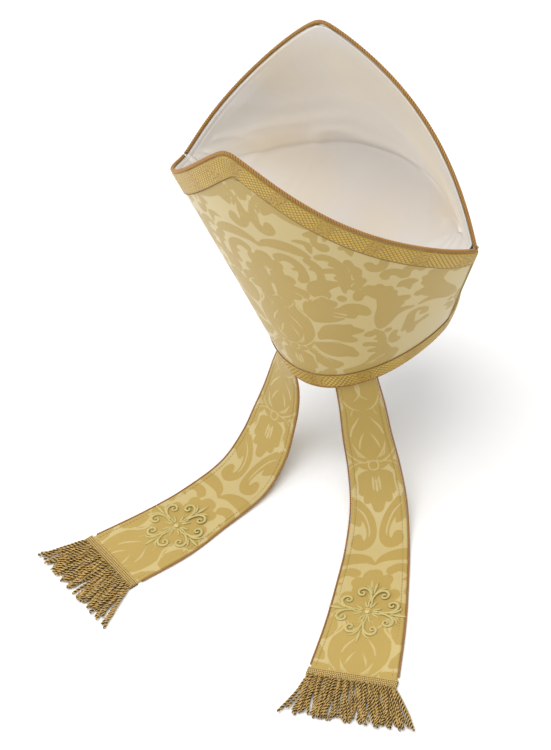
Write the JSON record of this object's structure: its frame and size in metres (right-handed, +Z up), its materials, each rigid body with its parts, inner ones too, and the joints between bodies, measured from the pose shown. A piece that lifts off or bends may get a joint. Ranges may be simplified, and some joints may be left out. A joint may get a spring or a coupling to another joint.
{
  "type": "bishop mitre",
  "caption": "Pointed ceremonial hat: stiff damask front and back shields sewn at the sides, satin web in the valley, galloon and cord edging, fringed lappets falling from the back of the rim.",
  "frame": {"origin": "centre of the head opening, in the plane of the rim cord's underside", "axes": "+Z straight up as worn, -Y towards the front shield, +Y towards the back shield and the lappets, +X towards the wearer's left"},
  "size_m": [0.4172, 0.4407, 0.4364],
  "materials": {
    "damask": "two-tone gold silk damask, satin ground with matt figures",
    "satin": "off-white lining satin, soft sheen",
    "galloon": "woven gold galloon with a lozenge pattern",
    "cord": "twisted copper-gold cord",
    "bullion": "twisted dark-gold bullion fringe",
    "embroidery": "raised pale green-gold thread embroidery"
  },
  "bodies": {
    "root": {"front_shield": "damask", "galloon_front": "galloon", "headband_front": "galloon", "piping_front": "cord", "rim_cord_front": "cord", "back_shield": "damask", "galloon_back": "galloon", "headband_back": "galloon", "piping_back": "cord", "rim_cord_back": "cord", "satin_web": "satin", "lappet_left": "damask", "lappet_left_cord_a": "cord", "lappet_left_cord_b": "cord", "cross_left": "embroidery", "fringe_header_left": "galloon", "fringe_left": "bullion", "lappet_right": "damask", "lappet_right_cord_a": "cord", "lappet_right_cord_b": "cord", "cross_right": "embroidery", "fringe_header_right": "galloon", "fringe_right": "bullion"}
  },
  "joints": []
}
